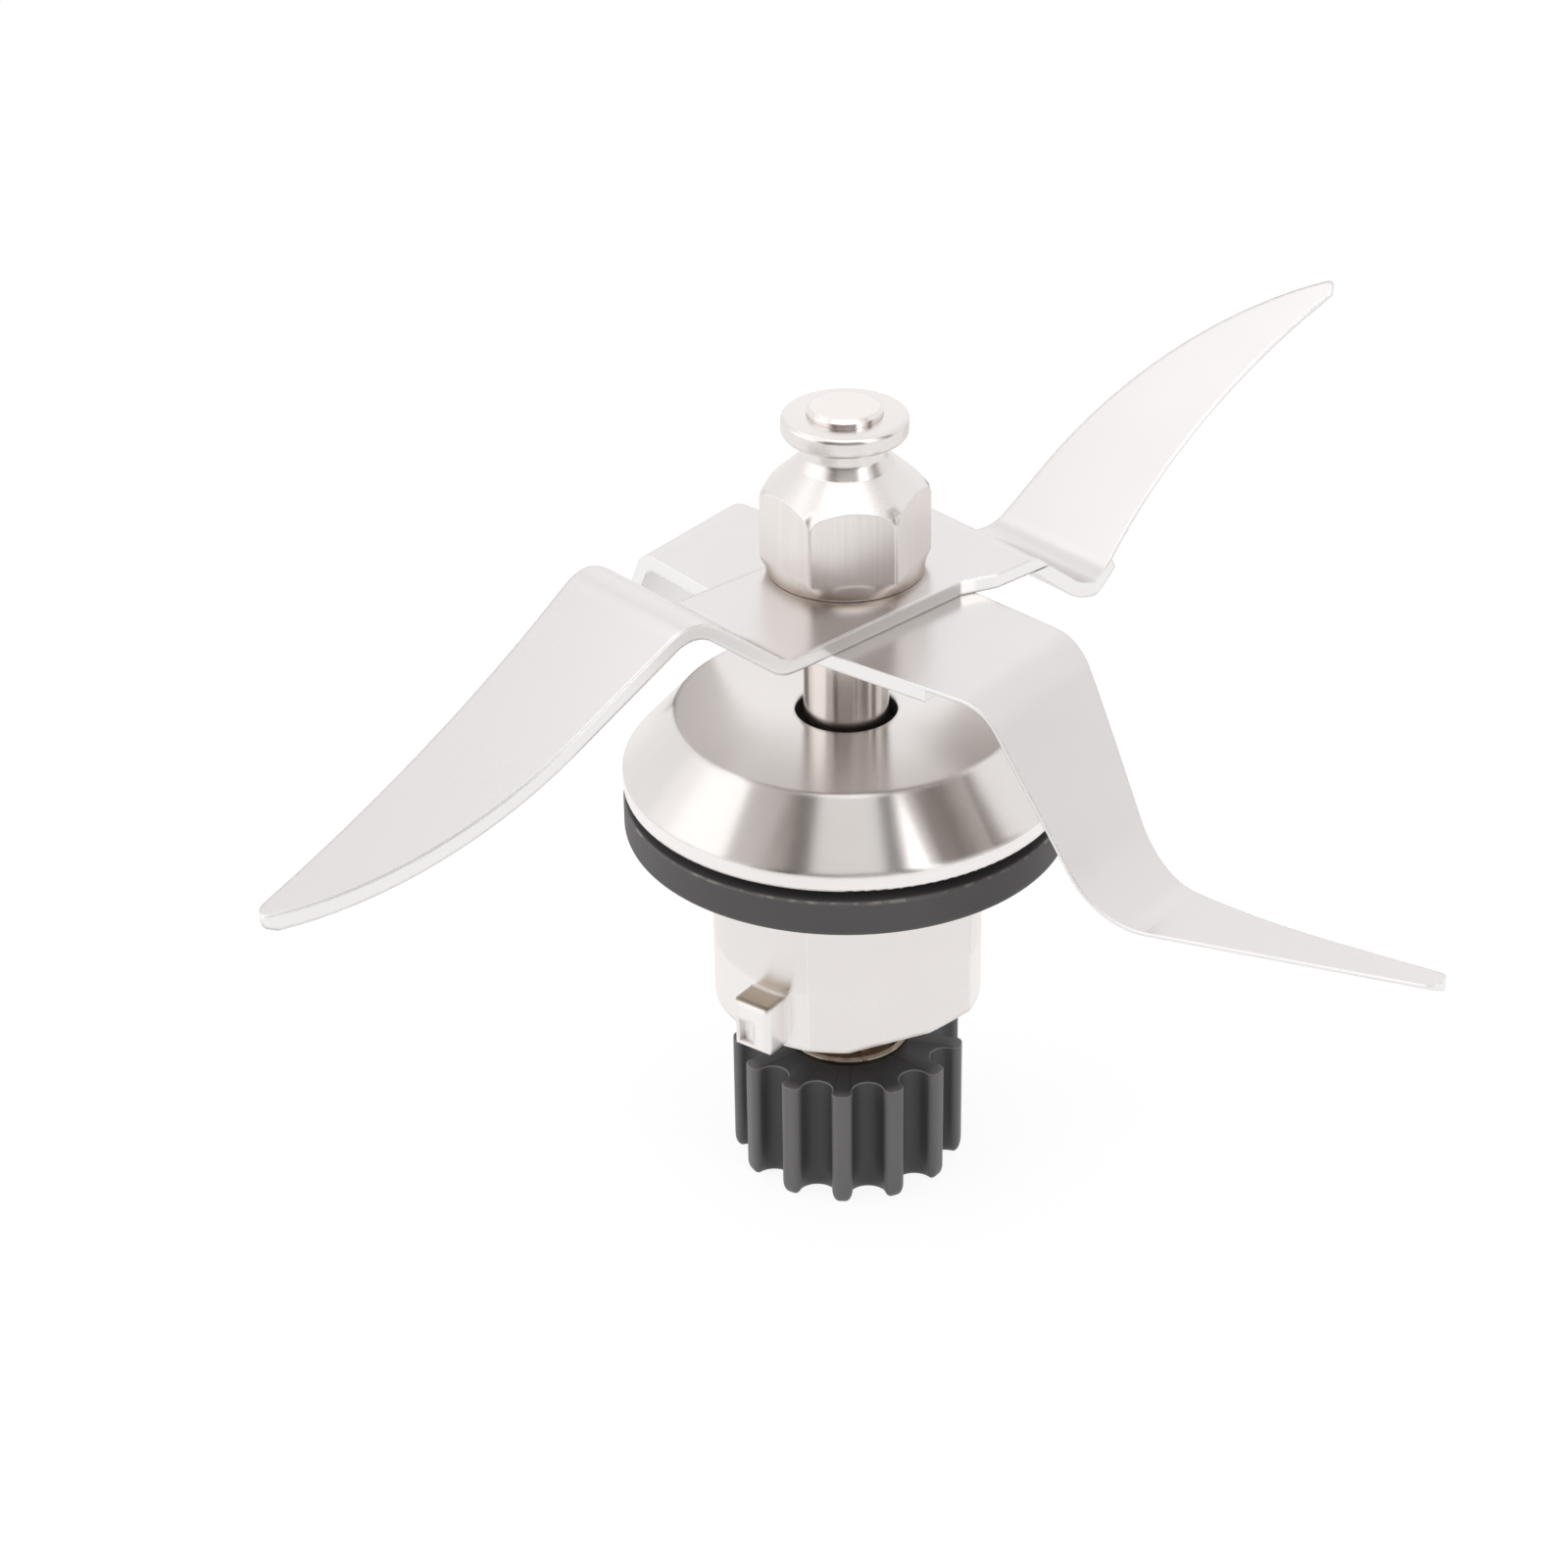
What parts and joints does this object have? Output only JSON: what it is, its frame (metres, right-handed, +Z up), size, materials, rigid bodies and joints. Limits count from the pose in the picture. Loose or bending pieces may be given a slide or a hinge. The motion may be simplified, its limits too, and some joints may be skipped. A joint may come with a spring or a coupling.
{
  "type": "blender blade assembly",
  "caption": "Blender blade assembly: bent steel cutting blades under a waisted nut, on a spindle in a flanged bearing housing with a rubber seal and a toothed drive gear.",
  "frame": {"origin": "on the spindle axis, at the lower end face of the drive gear", "axes": "+Z up along the spindle axis, +X to the right and +Y away as seen from the front of the picture"},
  "size_m": [0.1018, 0.0851, 0.0824],
  "materials": {
    "blade_steel": "satin rolled stainless sheet with ground cutting edges",
    "turned_steel": "turned stainless steel, polished on the cone and satin on the body",
    "bright_steel": "bright ground steel",
    "bearing_steel": "ground bearing steel",
    "spring_steel": "blackened spring steel",
    "cage_brass": "machined brass",
    "seal_rubber": "matte moulded rubber",
    "gear_plastic": "satin moulded plastic"
  },
  "bodies": {
    "housing": {"bearing_housing": "turned_steel", "seal_ring": "seal_rubber", "shaft_seal": "seal_rubber", "garter_spring": "spring_steel", "outer_spacer": "bearing_steel", "housing_circlip": "spring_steel", "upper_outer_race": "bearing_steel", "upper_shields": "bearing_steel", "lower_outer_race": "bearing_steel", "lower_shields": "bearing_steel"},
    "rotor": {"drive_shaft": "bright_steel", "inner_spacer": "bearing_steel", "shaft_collar": "bright_steel", "blade_nut": "turned_steel", "upper_blade": "blade_steel", "lower_blade": "blade_steel", "drive_gear": "gear_plastic", "gear_washer": "bearing_steel", "gear_clip": "spring_steel", "upper_inner_race": "bearing_steel", "lower_inner_race": "bearing_steel"},
    "upper_ball_set": {"upper_cage": "cage_brass", "upper_balls": "bright_steel"},
    "lower_ball_set": {"lower_cage": "cage_brass", "lower_balls": "bright_steel"}
  },
  "joints": [
    {"name": "blade_spin", "type": "hinge", "parent": "housing", "child": "rotor", "pos_m": [0, 0, 0.0313], "axis": [0, 0, 1], "continuous": true},
    {"name": "upper_ball_spin", "type": "hinge", "parent": "housing", "child": "upper_ball_set", "pos_m": [0, 0, 0.0418], "axis": [0, 0, 1], "continuous": true},
    {"name": "lower_ball_spin", "type": "hinge", "parent": "housing", "child": "lower_ball_set", "pos_m": [0, 0, 0.023], "axis": [0, 0, 1], "continuous": true}
  ],
  "couplings": [
    {"joint": "upper_ball_spin", "follows": "blade_spin", "ratio": 0.40476},
    {"joint": "lower_ball_spin", "follows": "blade_spin", "ratio": 0.40476}
  ]
}
